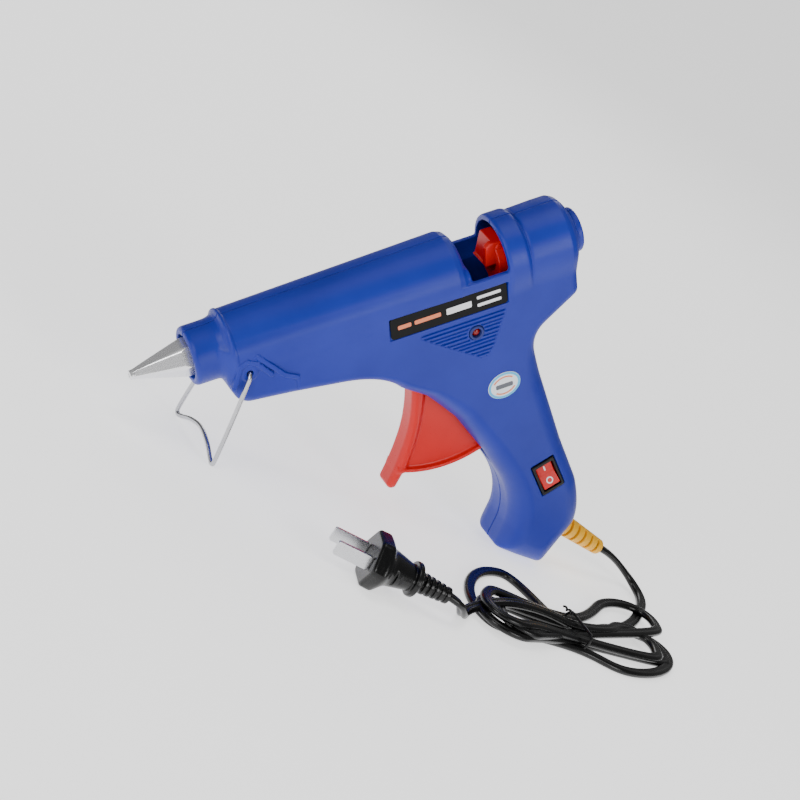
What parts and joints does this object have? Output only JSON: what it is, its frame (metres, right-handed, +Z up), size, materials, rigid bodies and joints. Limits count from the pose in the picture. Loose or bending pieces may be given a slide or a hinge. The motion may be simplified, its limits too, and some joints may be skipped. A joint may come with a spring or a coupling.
{
  "type": "hot glue gun",
  "caption": "Corded hot-melt glue gun with a pistol grip, squeeze trigger, sliding feed carriage, folding wire stand, rocker switch and plug.",
  "frame": {"origin": "on the table surface, under the middle of the standing gun's footprint, cord and strain relief left out", "axes": "+Z up; -X is the side the nozzle points to, nose down at 40.3 degrees; -Y is the gun's left side, with the label and the switch"},
  "size_m": [0.2991, 0.1208, 0.1546],
  "materials": {
    "blue_plastic": "satin moulded ABS",
    "red_plastic": "glossy moulded nylon",
    "black_plastic": "satin moulded",
    "nozzle_metal": "nickel plated, lightly burnished",
    "cast_aluminium": "as cast",
    "ceramic": "unglazed",
    "steel": "bright zinc plated",
    "plated_steel": "nickel plated",
    "silicone": "matt",
    "natural_plastic": "moulded nylon",
    "label_black": "printed film",
    "sticker": "printed vinyl",
    "led_red": "clear red lens",
    "circuit_board": "solder mask",
    "lead_white": "glass braid sleeve",
    "yellow_pvc": "satin PVC",
    "black_pvc": "semi-gloss PVC"
  },
  "bodies": {
    "housing": {"left_housing": "blue_plastic", "right_housing": "blue_plastic", "nozzle": "nozzle_metal", "melt_chamber": "cast_aluminium", "ptc_heater": "ceramic", "heater_clamp": "steel", "front_heat_ring": "ceramic", "feed_sleeve": "silicone", "sleeve_clip": "steel", "stick_guide": "natural_plastic", "trigger_pin": "steel", "return_spring": "steel", "label_plate": "label_black", "rating_sticker": "sticker", "led_lens": "led_red", "led_board": "circuit_board", "switch_body": "black_plastic", "housing_screw_1": "steel", "housing_screw_2": "steel", "housing_screw_3": "steel", "housing_screw_4": "steel", "housing_screw_5": "steel", "housing_screw_6": "steel", "heater_lead_1": "lead_white", "heater_lead_2": "lead_white", "cord_clamp": "black_plastic", "strain_relief": "yellow_pvc", "power_cord": "black_pvc", "cord_hank": "black_pvc", "cord_tie": "black_pvc", "cord_tail": "black_pvc", "plug_body": "black_pvc", "plug_blade_1": "plated_steel", "plug_blade_2": "plated_steel"},
    "trigger": {"trigger": "red_plastic"},
    "carriage": {"carriage": "red_plastic", "stick_gripper": "red_plastic", "push_link": "natural_plastic"},
    "stand": {"stand_wire": "steel"},
    "rocker": {"switch_rocker": "red_plastic"}
  },
  "joints": [
    {"name": "trigger_pull", "type": "hinge", "parent": "housing", "child": "trigger", "pos_m": [0.00924, 0, 0.06884], "axis": [0, -1, 0], "range_deg": [0, 20], "stiffness_Nm_per_rad": 0.15, "springref_deg": -17.19},
    {"name": "feed_slide", "type": "slide", "parent": "housing", "child": "carriage", "axis": [-0.7627, 0, -0.6468], "range_m": [0, 0.0085]},
    {"name": "stand_fold", "type": "hinge", "parent": "housing", "child": "stand", "pos_m": [-0.07814, 0, 0.04155], "axis": [0, -1, 0], "range_deg": [0, 80]},
    {"name": "switch_rock", "type": "hinge", "parent": "housing", "child": "rocker", "pos_m": [0.08565, -0.0115, 0.04461], "axis": [0.5707, 0, 0.8211], "range_deg": [0, 16]}
  ],
  "couplings": [
    {"joint": "feed_slide", "follows": "trigger_pull", "m_per_rad": 0.024}
  ]
}
